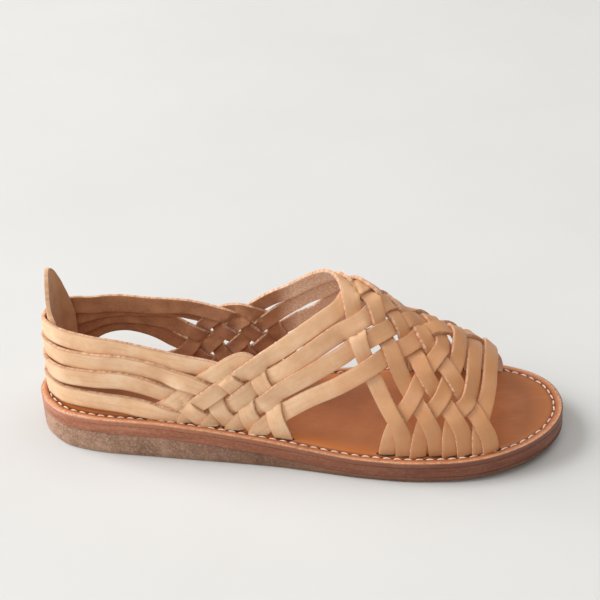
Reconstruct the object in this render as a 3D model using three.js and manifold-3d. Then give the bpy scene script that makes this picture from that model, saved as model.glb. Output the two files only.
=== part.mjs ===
// Huarache sandal for the right foot, woven from flat leather straps on a layered sole.
// Millimetres. Origin under the middle of the sole, +X to the toe, +Y to the inner side, +Z up.
import * as THREE from "three";
import Module from "manifold-3d";

const wasm = await Module();
wasm.setup();
const { Manifold, Mesh } = wasm;

// Sole
const SOLE_LENGTH = 258;
const BALL_HALF_WIDTH = 44;
const OUTSOLE_HEEL = 11.6;
const OUTSOLE_BALL = 2.6;
const MIDSOLE_THICKNESS = 5;
const INSOLE_THICKNESS = 2.2;
const TOE_SPRING = 5.4;
const EDGE_BEVEL = 1.2;
const CLEARANCE = 0.3;

// Straps
const STRAP_WIDTH = 8.4;
const HEEL_STRAP_WIDTH = 9.1;
const STRAP_THICKNESS = 2;
const WEAVE_BITE = 0.3;
const STRAP_INSET = 4;
const HEEL_SETBACK = 4.5;
const TOE_SETBACK = 6;
const HEEL_LEAN_DEPTH = 2.4;
const INSTEP_HEIGHT = 86;

// Heel tab
const TAB_HEIGHT = 63.4;
const TAB_THICKNESS = 2;
const TAB_HALF_WIDTH = 20;

// Where the heel block ends, the ball begins and the toe lifts, as shares of the length
const HEEL_END = 0.22;
const BALL_START = 0.66;
const SPRING_START = 0.7;

// Outline: along is a share of the length, near (outer side) and far (inner side) are shares
// of the ball half width, inset is a share of the strap inset
const OUTLINE = [
  { along: 0.0, near: 0.0, far: 0.0, inset: 1.0 },
  { along: 0.03, near: 0.42, far: 0.45, inset: 1.9 },
  { along: 0.08, near: 0.64, far: 0.625, inset: 1.5 },
  { along: 0.16, near: 0.742, far: 0.708, inset: 1.45 },
  { along: 0.24, near: 0.77, far: 0.7, inset: 1.5 },
  { along: 0.32, near: 0.8, far: 0.658, inset: 1.6 },
  { along: 0.4, near: 0.825, far: 0.62, inset: 1.65 },
  { along: 0.48, near: 0.86, far: 0.645, inset: 1.7 },
  { along: 0.56, near: 0.923, far: 0.75, inset: 1.75 },
  { along: 0.64, near: 0.99, far: 0.885, inset: 1.8 },
  { along: 0.72, near: 1.02, far: 0.98, inset: 1.85 },
  { along: 0.8, near: 0.993, far: 1.0, inset: 1.8 },
  { along: 0.86, near: 0.92, far: 0.95, inset: 1.6 },
  { along: 0.92, near: 0.755, far: 0.805, inset: 1.5 },
  { along: 0.97, near: 0.49, far: 0.55, inset: 1.5 },
  { along: 1.0, near: 0.0, far: 0.0, inset: 1.5 },
];

// Top line of the foot inside the straps: height is a share of the instep height over the floor
const RIDGE = [
  { along: 0.0, height: 1.16 },
  { along: 0.34, height: 1.16 },
  { along: 0.46, height: 1.09 },
  { along: 0.56, height: 1.0 },
  { along: 0.64, height: 0.88 },
  { along: 0.72, height: 0.715 },
  { along: 0.8, height: 0.59 },
  { along: 0.88, height: 0.43 },
  { along: 1.0, height: 0.16 },
];

// How the weave of the inner side departs from a mirror of the outer side's: drop is a share of
// the way round by which it lies lower, tilt moves it over the top towards the outer side
const ACROSS = [
  { along: 0.0, drop: 0.14, tilt: 0.0 },
  { along: 0.2, drop: 0.07, tilt: 0.0 },
  { along: 0.4, drop: -0.08, tilt: 0.0 },
  { along: 0.5, drop: -0.14, tilt: 0.02 },
  { along: 0.56, drop: -0.08, tilt: 0.04 },
  { along: 0.6, drop: -0.03, tilt: 0.1 },
  { along: 0.64, drop: 0.0, tilt: 0.16 },
  { along: 0.72, drop: 0.0, tilt: 0.12 },
  { along: 0.8, drop: 0.0, tilt: 0.09 },
  { along: 1.0, drop: 0.0, tilt: 0.06 },
];
const TILT_REACH = 0.32;

// Strap routes. Columns: along the sole, and round the foot from the near edge of the sole.
// A quarter route climbs from beside the heel to the instep, a front route drops to the ball.
const QUARTER = {
  1: [
    [0.31, 0], [0.321, 0.025], [0.362, 0.067], [0.4, 0.099], [0.442, 0.14], [0.51, 0.215],
    [0.561, 0.289], [0.599, 0.366],
  ],
  2: [
    [0.355, 0], [0.379, 0.028], [0.422, 0.075], [0.457, 0.11], [0.516, 0.169], [0.561, 0.226],
    [0.601, 0.289], [0.637, 0.354],
  ],
  3: [
    [0.4, 0], [0.429, 0.035], [0.473, 0.081], [0.5, 0.111], [0.546, 0.157], [0.602, 0.225],
    [0.633, 0.277], [0.673, 0.352],
  ],
  4: [
    [0.445, 0], [0.482, 0.042], [0.538, 0.097], [0.602, 0.156], [0.655, 0.228], [0.69, 0.3],
    [0.726, 0.378],
  ],
};
const FRONT = {
  1: [
    [0.615, 0.42], [0.628, 0.35], [0.635, 0.29], [0.652, 0.235], [0.687, 0.145], [0.706, 0.1],
    [0.716, 0.055], [0.717, 0],
  ],
  2: [
    [0.659, 0.42], [0.67, 0.378], [0.687, 0.322], [0.713, 0.245], [0.734, 0.19], [0.759, 0.13],
    [0.773, 0.065], [0.777, 0],
  ],
  3: [
    [0.705, 0.42], [0.724, 0.378], [0.75, 0.285], [0.781, 0.212], [0.804, 0.16], [0.821, 0.1],
    [0.827, 0],
  ],
  4: [
    [0.747, 0.42], [0.772, 0.37], [0.798, 0.31], [0.818, 0.262], [0.833, 0.222], [0.853, 0.15],
    [0.867, 0.08], [0.871, 0],
  ],
};
const TOE = {
  1: [
    [0.686, 0], [0.695, 0.06], [0.708, 0.108], [0.732, 0.19], [0.751, 0.283], [0.771, 0.368],
    [0.779, 0.42],
  ],
  2: [
    [0.742, 0], [0.749, 0.075], [0.759, 0.133], [0.782, 0.212], [0.798, 0.31], [0.806, 0.37],
    [0.808, 0.42],
  ],
  3: [
    [0.8, 0], [0.801, 0.09], [0.808, 0.16], [0.83, 0.235], [0.836, 0.33], [0.837, 0.42],
  ],
  4: [
    [0.853, 0], [0.852, 0.08], [0.854, 0.15], [0.861, 0.24], [0.865, 0.33], [0.866, 0.42],
  ],
};
// Heel straps from the near quarter to the middle of the heel, and the looped strap of a quarter
const HEEL = {
  1: [
    [0.446, 0], [0.43, 0.035], [0.421, 0.075], [0.399, 0.101], [0.377, 0.116], [0.297, 0.127],
    [0.198, 0.145], [0.128, 0.152], [0.059, 0.157],
  ],
  2: [
    [0.398, 0], [0.38, 0.028], [0.362, 0.067], [0.339, 0.082], [0.297, 0.092], [0.257, 0.104],
    [0.198, 0.114], [0.128, 0.114], [0.059, 0.113],
  ],
  3: [
    [0.354, 0], [0.322, 0.025], [0.296, 0.044], [0.247, 0.066], [0.197, 0.078], [0.128, 0.077],
    [0.059, 0.072],
  ],
  4: [
    [0.308, 0], [0.261, 0.016], [0.199, 0.025], [0.129, 0.029], [0.06, 0.028],
  ],
};
const HEEL_BACK = { 1: 0.146, 2: 0.104, 3: 0.064, 4: 0.0265 };
const LOOP = [
  [0.235, 0], [0.261, 0.017], [0.297, 0.045], [0.339, 0.082], [0.378, 0.117], [0.409, 0.143],
  [0.429, 0.152], [0.445, 0.138], [0.458, 0.11], [0.472, 0.082], [0.482, 0.043], [0.495, 0],
];

// Inner side of the heel and quarter, drawn tighter and higher than the outer side, with the
// rounds taken from the inner edge
const INNER_HEEL = {
  1: [
    [0.46, 0], [0.45, 0.022], [0.436, 0.053], [0.419, 0.084], [0.397, 0.109], [0.372, 0.127],
    [0.339, 0.131], [0.29, 0.136], [0.239, 0.134], [0.193, 0.134], [0.117, 0.138], [0.069, 0.141],
  ],
  2: [
    [0.418, 0], [0.405, 0.02], [0.389, 0.047], [0.367, 0.074], [0.338, 0.096], [0.297, 0.114],
    [0.267, 0.122], [0.233, 0.124], [0.169, 0.124], [0.1, 0.12], [0.06, 0.113],
  ],
  3: [
    [0.365, 0], [0.355, 0.012], [0.337, 0.038], [0.311, 0.06], [0.287, 0.074], [0.267, 0.08],
    [0.233, 0.092], [0.2, 0.099], [0.132, 0.103], [0.1, 0.099], [0.06, 0.083],
  ],
  4: [
    [0.32, 0], [0.305, 0.008], [0.268, 0.031], [0.242, 0.046], [0.226, 0.057], [0.206, 0.068],
    [0.169, 0.08], [0.132, 0.082], [0.1, 0.075], [0.06, 0.052],
  ],
};
const INNER_QUARTER = {
  1: [
    [0.285, 0], [0.3, 0.022], [0.322, 0.05], [0.352, 0.083], [0.381, 0.114], [0.412, 0.15],
    [0.45, 0.195],
  ],
  2: [
    [0.33, 0], [0.352, 0.028], [0.381, 0.065], [0.412, 0.101], [0.439, 0.134], [0.465, 0.162],
    [0.516, 0.218],
  ],
  3: [
    [0.372, 0], [0.403, 0.038], [0.434, 0.078], [0.465, 0.11], [0.5, 0.147],
  ],
  4: [
    [0.412, 0], [0.448, 0.045], [0.485, 0.083],
  ],
};
const INNER_LOOP = [
  [0.235, 0], [0.252, 0.008], [0.278, 0.032], [0.298, 0.068], [0.319, 0.099], [0.35, 0.128],
  [0.375, 0.143], [0.397, 0.149], [0.42, 0.145], [0.441, 0.13], [0.457, 0.107], [0.468, 0.075],
  [0.48, 0.035], [0.49, 0],
];

// Heel tab's edges up its height, on the near and the far side of the middle, as shares
const TAB_SHAPE = [
  { up: 0.0, near: 1.0, far: 1.06 },
  { up: 0.47, near: 0.97, far: 1.08 },
  { up: 0.58, near: 0.93, far: 1.02 },
  { up: 0.64, near: 0.84, far: 0.96 },
  { up: 0.68, near: 0.62, far: 0.92 },
  { up: 0.73, near: 0.41, far: 0.86 },
  { up: 0.78, near: 0.28, far: 0.79 },
  { up: 0.84, near: 0.16, far: 0.71 },
  { up: 0.9, near: 0.07, far: 0.6 },
  { up: 0.95, near: 0.0, far: 0.45 },
  { up: 0.985, near: -0.06, far: 0.31 },
  { up: 1.0, near: -0.1, far: 0.2 },
];
const TAB_STEPS = 8;

// Which straps pass over which where they cross: 0 when their ranks add up to an even number,
// 1 when to an odd one
const OVER_WHEN = {
  "heel near": 0,
  "heel far": 0,
  "heel loop": 0,
  "loop near": 0,
  "loop far": 0,
  "far near": 0,
  "far toe": 0,
  "near toe": 1,
};

// Sizes of the faceting
const OUTLINE_STEPS = 36;
const TRACE_STEP = 1.5;
const LONGEST_FACET = 10;
const CROSSING_HALF = 2.9;
const FOOT_DEPTH = 3;

// Middle of the heel's round and of the toe's, where lines out of the foot start
const HEEL_CORE = 0.13 * SOLE_LENGTH;
const TOE_CORE = 0.9 * SOLE_LENGTH;

// Smooth curve through the rows of a table, without overshoot
function follow(xs, ys, x) {
  const last = xs.length - 1;
  let k = 0;
  while (k < last - 1 && x > xs[k + 1]) k += 1;
  const slope = (i) => (ys[i + 1] - ys[i]) / (xs[i + 1] - xs[i]);
  const tangent = (i) => {
    if (i === 0) return slope(0);
    if (i === last) return slope(last - 1);
    const a = slope(i - 1);
    const b = slope(i);
    return a * b <= 0 ? 0 : (2 * a * b) / (a + b);
  };
  const h = xs[k + 1] - xs[k];
  const t = (x - xs[k]) / h;
  if (t < 0) return ys[0] + (x - xs[0]) * tangent(0);
  if (t > 1) return ys[last] + (x - xs[last]) * tangent(last);
  const s = t * t * (3 - 2 * t);
  return ys[k] * (1 - s) + ys[k + 1] * s + h * t * (1 - t) * ((1 - t) * tangent(k) - t * tangent(k + 1));
}

// Sole outline: half width on one side of the middle line at x from the back of the heel
const outlineAt = OUTLINE.map((row) => row.along * SOLE_LENGTH);
const soleSquares = {
  near: OUTLINE.map((row) => (row.near * BALL_HALF_WIDTH) ** 2),
  far: OUTLINE.map((row) => (row.far * BALL_HALF_WIDTH) ** 2),
};
function soleHalf(side, x) {
  return Math.sqrt(Math.max(follow(outlineAt, soleSquares[side], x), 0));
}

// Foot outline inside the straps, as squares that run on below zero past heel and toe
const footAt = outlineAt.map((x, i) => {
  if (i === 0) return HEEL_SETBACK;
  return i === outlineAt.length - 1 ? SOLE_LENGTH - TOE_SETBACK : x;
});
const footSquares = {};
for (const side of ["near", "far"]) {
  footSquares[side] = OUTLINE.map((row) => {
    const half = row[side] * BALL_HALF_WIDTH - row.inset * STRAP_INSET;
    return Math.max(half, 0) ** 2;
  });
}

// Heights of the sole's faces over the floor
function springAt(x) {
  const run = Math.max(x / SOLE_LENGTH - SPRING_START, 0) / (1 - SPRING_START);
  return TOE_SPRING * run * run;
}
function outsoleTop(x) {
  const t = Math.min(Math.max((x / SOLE_LENGTH - HEEL_END) / (BALL_START - HEEL_END), 0), 1);
  return OUTSOLE_HEEL + (OUTSOLE_BALL - OUTSOLE_HEEL) * t * t * (3 - 2 * t) + springAt(x);
}
const midsoleBase = (x) => outsoleTop(x) + CLEARANCE;
const midsoleTop = (x) => midsoleBase(x) + MIDSOLE_THICKNESS;
const insoleBase = (x) => midsoleTop(x) + CLEARANCE;
const insoleTop = (x) => insoleBase(x) + INSOLE_THICKNESS;

const ridgeAt = RIDGE.map((row) => row.along * SOLE_LENGTH);
const ridgeHeights = RIDGE.map((row) => row.height * INSTEP_HEIGHT);
const ridgeHeight = (x) => follow(ridgeAt, ridgeHeights, x);

// How far the back of the heel leans forward at a share of the way up the foot
function leanAt(x, rise) {
  return 2 * HEEL_LEAN_DEPTH * rise * Math.max(1 - x / (2 * HEEL_CORE), 0);
}

// Below zero inside the foot, above zero outside it
function footField(x, y, z) {
  const floor = insoleTop(x);
  const rise = Math.max(z - floor, 0) / (ridgeHeight(x) - floor);
  const square = follow(footAt, footSquares[y < 0 ? "near" : "far"], x - leanAt(x, rise));
  return y * y - square * (1 - rise * rise);
}

// Point of the foot at a share of the length and a share of the way round
function footPoint([along, round]) {
  const x = along * SOLE_LENGTH;
  const angle = round * Math.PI;
  const square = follow(footAt, footSquares[round < 0.5 ? "near" : "far"], x);
  const floor = insoleTop(x);
  const y = -Math.sqrt(Math.max(square, 0)) * Math.cos(angle);
  const rise = Math.sin(angle);
  return new THREE.Vector3(x + leanAt(x, Math.max(rise, 0)), y, floor + (ridgeHeight(x) - floor) * rise);
}

// Moves a point outward or inward from the core of the foot until it lies on the foot
function settle(p) {
  const floor = insoleTop(p.x);
  const coreX = Math.min(Math.max(p.x, HEEL_CORE), TOE_CORE);
  const core = new THREE.Vector3(coreX, 0, floor + 0.35 * (p.z - floor));
  let low = 0;
  let high = 2.5;
  for (let i = 0; i < 40; i += 1) {
    const mid = (low + high) / 2;
    const q = core.clone().lerp(p, mid);
    if (footField(q.x, q.y, q.z) < 0) low = mid;
    else high = mid;
  }
  return core.lerp(p, (low + high) / 2);
}

function footNormal(p) {
  const d = 0.6;
  return new THREE.Vector3(
    footField(p.x + d, p.y, p.z) - footField(p.x - d, p.y, p.z),
    footField(p.x, p.y + d, p.z) - footField(p.x, p.y - d, p.z),
    footField(p.x, p.y, p.z + d) - footField(p.x, p.y, p.z - d),
  ).normalize();
}

// The matching place on the inner side of the weave
function mirrored([along, round]) {
  const at = ACROSS.map((row) => row.along);
  const drop = follow(at, ACROSS.map((row) => row.drop), along);
  const tilt = follow(at, ACROSS.map((row) => row.tilt), along);
  const t = Math.min(Math.max(round / TILT_REACH, 0), 1);
  return [along, 1 - round * (1 - drop) - tilt * t * t * (3 - 2 * t)];
}

// Rows given from the inner edge, as rounds from the outer edge
function fromInner(rows) {
  return rows.map(([along, round]) => [along, 1 - round]);
}

// Inner half of a quarter strap, its own rows first and then what matches the outer side
function innerQuarter(j) {
  const own = INNER_QUARTER[j];
  const higher = QUARTER[j].filter(([along]) => along > own[own.length - 1][0]);
  return [...fromInner(own), ...higher.map(mirrored)];
}

// Every strap from its near or heel-side foot to its other foot
function strapRoutes() {
  const flip = (rows) => rows.map(mirrored);
  const straps = [];
  for (const i of [1, 2, 3, 4]) {
    const back = [HEEL_SETBACK / SOLE_LENGTH, HEEL_BACK[i]];
    const far = fromInner(INNER_HEEL[i]).reverse();
    straps.push({ kind: "heel", rank: i, width: HEEL_STRAP_WIDTH, rows: [...HEEL[i], back, ...far] });
  }
  straps.push({ kind: "loop", rank: 0, side: "near", width: STRAP_WIDTH, rows: LOOP });
  straps.push({ kind: "loop", rank: 0, side: "far", width: STRAP_WIDTH, rows: fromInner(INNER_LOOP) });
  for (const j of [1, 2, 3, 4]) {
    const front = FRONT[j];
    straps.push({ kind: "near", rank: j, width: STRAP_WIDTH, rows: [...QUARTER[j], ...flip(front)] });
    straps.push({ kind: "far", rank: j, width: STRAP_WIDTH, rows: [...innerQuarter(j), ...front] });
  }
  for (const k of [1, 2, 3, 4]) {
    const over = flip(TOE[k].slice(0, -1)).reverse();
    straps.push({ kind: "toe", rank: k, width: STRAP_WIDTH, rows: [...TOE[k], ...over] });
  }
  return straps;
}

// Whether strap a lies over strap b where they cross, or null if they don't weave together
function liesOver(a, b) {
  const parity = (a.rank + b.rank) % 2;
  const pair = `${a.kind} ${b.kind}`;
  const turned = `${b.kind} ${a.kind}`;
  if (pair in OVER_WHEN) return parity === OVER_WHEN[pair];
  if (turned in OVER_WHEN) return parity !== OVER_WHEN[turned];
  return null;
}

// Closely spaced points along the middle of a strap, settled on the foot
function trace(strap) {
  const corners = strap.rows.map(footPoint);
  const drop = new THREE.Vector3(0, 0, FOOT_DEPTH);
  corners.unshift(corners[0].clone().sub(drop));
  corners.push(corners[corners.length - 1].clone().sub(drop));
  const curve = new THREE.CatmullRomCurve3(corners, false, "centripetal");
  const count = Math.ceil(curve.getLength() / TRACE_STEP);
  const points = curve.getSpacedPoints(count).map(settle);
  const runs = [0];
  for (let i = 1; i < points.length; i += 1) {
    runs.push(runs[i - 1] + points[i].distanceTo(points[i - 1]));
  }
  return { ...strap, points, runs, crossings: [] };
}

// Notes each crossing of two straps on both of them
function markCrossings(a, b) {
  const over = liesOver(a, b);
  if (over === null) return;
  let best = { gap: 0.5 * STRAP_WIDTH };
  a.points.forEach((p, i) => {
    b.points.forEach((q, j) => {
      const gap = p.distanceTo(q);
      if (gap < best.gap) best = { gap, i, j };
    });
  });
  if (best.i === undefined) return;
  a.crossings.push({ run: a.runs[best.i], lift: over ? 1 : -1 });
  b.crossings.push({ run: b.runs[best.j], lift: over ? -1 : 1 });
}

// How far the weave raises or sinks a strap at a place along it
function liftAt(strap, run) {
  const marks = strap.crossings;
  if (marks.length === 0) return 0;
  const reach = 2.4 * CROSSING_HALF;
  const before = marks.filter((mark) => mark.run <= run).pop();
  const after = marks.find((mark) => mark.run > run);
  const fade = (mark) => {
    const d = Math.max(Math.abs(run - mark.run) - CROSSING_HALF, 0) / reach;
    return d >= 1 ? 0 : mark.lift * 0.5 * (1 + Math.cos(Math.PI * d));
  };
  if (!before) return fade(after);
  if (!after) return fade(before);
  const gap = after.run - before.run;
  if (gap > 2 * (CROSSING_HALF + reach)) return fade(before) + fade(after);
  const flat = Math.min(CROSSING_HALF, 0.3 * gap);
  const t = Math.min(Math.max((run - before.run - flat) / (gap - 2 * flat), 0), 1);
  return before.lift + (after.lift - before.lift) * 0.5 * (1 - Math.cos(Math.PI * t));
}

// Places along a strap where its facets meet: both sides of each crossing, and between them
function stations(strap) {
  const length = strap.runs[strap.runs.length - 1];
  const fixed = [0, length];
  for (const mark of strap.crossings) fixed.push(mark.run - CROSSING_HALF, mark.run + CROSSING_HALF);
  const sorted = fixed.filter((run) => run >= 0 && run <= length).sort((p, q) => p - q);
  const kept = [sorted[0]];
  for (const run of sorted.slice(1)) {
    const from = kept[kept.length - 1];
    if (run - from < 0.6 * CROSSING_HALF) continue;
    const pieces = Math.ceil((run - from) / LONGEST_FACET);
    for (let i = 1; i <= pieces; i += 1) kept.push(from + ((run - from) * i) / pieces);
  }
  kept[kept.length - 1] = length;
  return kept;
}

// Middle line of a strap at a place along it
function pointAt(strap, run) {
  const { points, runs } = strap;
  let k = 0;
  while (k < runs.length - 2 && run > runs[k + 1]) k += 1;
  return points[k].clone().lerp(points[k + 1], (run - runs[k]) / (runs[k + 1] - runs[k]));
}

// Closed solid from rings of corners, each ring running the same way round
function solidFromRings(rings) {
  const size = rings[0].length;
  const corners = rings.flat();
  const faces = [];
  for (let i = 0; i < rings.length - 1; i += 1) {
    for (let j = 0; j < size; j += 1) {
      const a = i * size + j;
      const b = i * size + ((j + 1) % size);
      faces.push(a, b, a + size, b, b + size, a + size);
    }
  }
  const end = (rings.length - 1) * size;
  for (let j = 1; j < size - 1; j += 1) {
    faces.push(0, j + 1, j);
    faces.push(end, end + j, end + j + 1);
  }
  return closedSolid(corners, faces);
}

function closedSolid(corners, faces) {
  const flat = new Float32Array(corners.length * 3);
  corners.forEach((p, i) => flat.set([p.x, p.y, p.z], i * 3));
  return new Manifold(new Mesh({ numProp: 3, vertProperties: flat, triVerts: new Uint32Array(faces) }));
}

function strapSolid(strap) {
  const sway = (STRAP_THICKNESS - WEAVE_BITE) / 2;
  const half = strap.width / 2;
  const rings = stations(strap).map((run) => {
    const p = pointAt(strap, run);
    const length = strap.runs[strap.runs.length - 1];
    const ahead = pointAt(strap, Math.min(run + 2, length));
    const behind = pointAt(strap, Math.max(run - 2, 0));
    const out = footNormal(p);
    const side = out.clone().cross(ahead.sub(behind)).normalize();
    const middle = p.addScaledVector(out, sway * liftAt(strap, run));
    const corner = (u, v) => {
      const edge = middle.clone().addScaledVector(side, u * half);
      return edge.addScaledVector(out, (v * STRAP_THICKNESS) / 2);
    };
    return [corner(-1, -1), corner(1, -1), corner(1, 1), corner(-1, 1)];
  });
  return solidFromRings(rings);
}

// Stations along the sole, close together at the round ends
const soleStations = [];
for (let i = 1; i < OUTLINE_STEPS; i += 1) {
  soleStations.push((SOLE_LENGTH / 2) * (1 - Math.cos((Math.PI * i) / OUTLINE_STEPS)));
}

// Outline ring of the sole, drawn in by an inset, at heights that change along the shoe
function soleRing(inset, heightAt) {
  const plan = [[0, 0]];
  for (const x of soleStations) plan.push([x, -soleHalf("near", x)]);
  plan.push([SOLE_LENGTH, 0]);
  for (const x of [...soleStations].reverse()) plan.push([x, soleHalf("far", x)]);
  return plan.map(([x, y], i) => {
    const [x0, y0] = plan[(i + plan.length - 1) % plan.length];
    const [x1, y1] = plan[(i + 1) % plan.length];
    const size = Math.hypot(x1 - x0, y1 - y0);
    const px = x - ((y1 - y0) / size) * inset;
    const py = y + ((x1 - x0) / size) * inset;
    return new THREE.Vector3(px, py, heightAt(px));
  });
}

// Solid between outline rings, its two faces laid in strips across the sole
function layerSolid(rings) {
  const size = rings[0].length;
  const faces = [];
  for (let i = 0; i < rings.length - 1; i += 1) {
    for (let j = 0; j < size; j += 1) {
      const a = i * size + j;
      const b = i * size + ((j + 1) % size);
      faces.push(a, b, b + size, a, b + size, a + size);
    }
  }
  const top = (rings.length - 1) * size;
  for (let j = 0; j < size / 2; j += 1) {
    const near = [j, j + 1];
    const far = [(size - j) % size, size - j - 1];
    if (near[0] !== far[0]) {
      faces.push(near[0], far[0], near[1]);
      faces.push(top + near[0], top + near[1], top + far[0]);
    }
    if (near[1] !== far[1]) {
      faces.push(near[1], far[0], far[1]);
      faces.push(top + near[1], top + far[1], top + far[0]);
    }
  }
  return closedSolid(rings.flat(), faces);
}

const outsole = layerSolid([
  soleRing(EDGE_BEVEL, springAt),
  soleRing(0, (x) => springAt(x) + EDGE_BEVEL),
  soleRing(0, outsoleTop),
]);
const midsole = layerSolid([soleRing(0, midsoleBase), soleRing(0, midsoleTop)]);
const insole = layerSolid([
  soleRing(0, insoleBase),
  soleRing(0, (x) => insoleTop(x) - EDGE_BEVEL / 2),
  soleRing(EDGE_BEVEL / 2, insoleTop),
]);

// Fills the pockets that straps shut in where they cross, by leaving out their inward shells
function withoutPockets(solid) {
  const { vertProperties, triVerts, numProp } = solid.getMesh();
  const count = vertProperties.length / numProp;
  const corners = [];
  for (let i = 0; i < count; i += 1) {
    corners.push(new THREE.Vector3().fromArray(vertProperties, i * numProp));
  }
  const owner = corners.map((_, i) => i);
  const root = (i) => {
    let k = i;
    while (owner[k] !== k) {
      owner[k] = owner[owner[k]];
      k = owner[k];
    }
    return k;
  };
  const volumes = new Map();
  for (let i = 0; i < triVerts.length; i += 3) {
    owner[root(triVerts[i])] = root(triVerts[i + 1]);
    owner[root(triVerts[i + 1])] = root(triVerts[i + 2]);
  }
  for (let i = 0; i < triVerts.length; i += 3) {
    const [a, b, c] = [0, 1, 2].map((k) => corners[triVerts[i + k]]);
    const shell = root(triVerts[i]);
    volumes.set(shell, (volumes.get(shell) || 0) + a.dot(b.clone().cross(c)));
  }
  const kept = [];
  for (let i = 0; i < triVerts.length; i += 3) {
    if (volumes.get(root(triVerts[i])) > 0) kept.push(...triVerts.slice(i, i + 3));
  }
  return closedSolid(corners, kept);
}

// All straps woven into one solid, trimmed just over the insole
function weave() {
  const straps = strapRoutes().map(trace);
  straps.forEach((a, i) => straps.slice(i + 1).forEach((b) => markCrossings(a, b)));
  for (const strap of straps) strap.crossings.sort((p, q) => p.run - q.run);
  const block = layerSolid([
    soleRing(-STRAP_INSET, (x) => insoleTop(x) - 5 * FOOT_DEPTH),
    soleRing(-STRAP_INSET, (x) => insoleTop(x) + CLEARANCE),
  ]);
  return withoutPockets(Manifold.union(straps.map(strapSolid)).subtract(block));
}

// Heel tab: a curved strip inside the heel straps, narrower towards its top
function heelTab() {
  const floor = insoleTop(HEEL_SETBACK) + CLEARANCE;
  const bend = HEEL_CORE - HEEL_SETBACK;
  const facetSag = LONGEST_FACET ** 2 / (8 * bend);
  const outset = STRAP_THICKNESS / 2 + (STRAP_THICKNESS - WEAVE_BITE) / 2 + facetSag + CLEARANCE;
  const sheet = (depth) => TAB_SHAPE.map((row) => {
    const line = [];
    for (let i = 0; i <= TAB_STEPS; i += 1) {
      const share = i / TAB_STEPS;
      const across = TAB_HALF_WIDTH * (row.far * share - row.near * (1 - share));
      const bearing = across / bend;
      const z = floor + row.up * TAB_HEIGHT;
      const x = HEEL_CORE * (1 - Math.cos(bearing));
      const foot = settle(new THREE.Vector3(x, HEEL_CORE * Math.sin(bearing), z));
      const inward = footNormal(foot).setZ(0).normalize();
      line.push(foot.addScaledVector(inward, -outset - depth).setZ(z));
    }
    return line;
  });
  const outer = sheet(0);
  const inner = sheet(TAB_THICKNESS);
  return solidFromRings(inner.map((line, i) => [...line, ...outer[i].reverse()]));
}

// Puts a closed solid into the scene as a named mesh, moved so the origin is under the middle
const ballNear = Math.max(...OUTLINE.map((row) => row.near)) * BALL_HALF_WIDTH;
const ballFar = Math.max(...OUTLINE.map((row) => row.far)) * BALL_HALF_WIDTH;
function meshOf(name, solid, colour, roughness) {
  const centred = solid.translate(-SOLE_LENGTH / 2, (ballNear - ballFar) / 2, 0);
  const { vertProperties, triVerts, numProp } = centred.getMesh();
  const places = new Float32Array((vertProperties.length / numProp) * 3);
  for (let i = 0; i < places.length / 3; i += 1) {
    for (let k = 0; k < 3; k += 1) places[i * 3 + k] = vertProperties[i * numProp + k];
  }
  const geometry = new THREE.BufferGeometry();
  geometry.setAttribute("position", new THREE.BufferAttribute(places, 3));
  geometry.setIndex([...triVerts]);
  geometry.computeVertexNormals();
  const material = new THREE.MeshStandardMaterial({ color: colour, roughness, flatShading: true });
  const mesh = new THREE.Mesh(geometry, material);
  mesh.name = name;
  return mesh;
}

const sandal = new THREE.Group();
sandal.add(meshOf("outsole", outsole, 0x6f5348, 0.85));
sandal.add(meshOf("midsole", midsole, 0x7a4530, 0.7));
sandal.add(meshOf("insole", insole, 0xa5623c, 0.4));
sandal.add(meshOf("upper", weave(), 0xdcb088, 0.6));
sandal.add(meshOf("heel_tab", heelTab(), 0x8a5c40, 0.85));

export default sandal;
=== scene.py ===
import math

import bmesh
import bpy
import numpy as np
from mathutils import Matrix, Vector
from mathutils.kdtree import KDTree


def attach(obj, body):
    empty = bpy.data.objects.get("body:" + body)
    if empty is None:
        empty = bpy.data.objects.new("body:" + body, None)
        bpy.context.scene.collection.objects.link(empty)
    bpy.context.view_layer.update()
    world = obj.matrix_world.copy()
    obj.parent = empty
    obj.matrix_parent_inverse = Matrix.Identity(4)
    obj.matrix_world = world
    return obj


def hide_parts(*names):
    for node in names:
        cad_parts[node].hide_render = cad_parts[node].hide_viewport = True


# The sandal's frame comes from the CAD model, in metres. Sizes below are in millimetres, in the
# maker's own measure from the back of the heel, and MM and CENTRE take them into the frame.
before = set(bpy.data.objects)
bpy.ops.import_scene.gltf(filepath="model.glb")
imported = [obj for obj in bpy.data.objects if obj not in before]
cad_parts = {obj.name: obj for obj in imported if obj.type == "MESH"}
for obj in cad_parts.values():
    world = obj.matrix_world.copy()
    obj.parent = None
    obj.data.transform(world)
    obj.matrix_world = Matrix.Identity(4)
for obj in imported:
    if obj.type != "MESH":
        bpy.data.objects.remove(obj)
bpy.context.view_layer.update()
MM = 0.001
SOLE_LENGTH = 258.0
BALL_HALF_WIDTH = 44.0
SIDE_SHIFT = -0.44
CENTRE = np.array([SOLE_LENGTH / 2, SIDE_SHIFT, 0.0])

# Camera at the photograph's height and distance, on the outer side of the shoe.
CAMERA_LENS = 88.96
CAMERA_PLACE = (0.11238, -0.59442, 0.42362)
CAMERA_RIGHT = Vector((0.98775, 0.14607, -0.05482))
CAMERA_UP = Vector((-0.02709, 0.50661, 0.86175))
CAMERA_BACK = Vector((0.15365, -0.84971, 0.50436))
camera_data = bpy.data.cameras.new("camera")
camera_data.sensor_width = 36.0
camera_data.lens = CAMERA_LENS
camera_data.clip_start = 0.05
camera = bpy.data.objects.new("camera", camera_data)
bpy.context.scene.collection.objects.link(camera)
turn = Matrix((CAMERA_RIGHT, CAMERA_UP, CAMERA_BACK)).transposed().to_4x4()
camera.matrix_world = Matrix.Translation(CAMERA_PLACE) @ turn
bpy.context.scene.camera = camera


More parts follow.
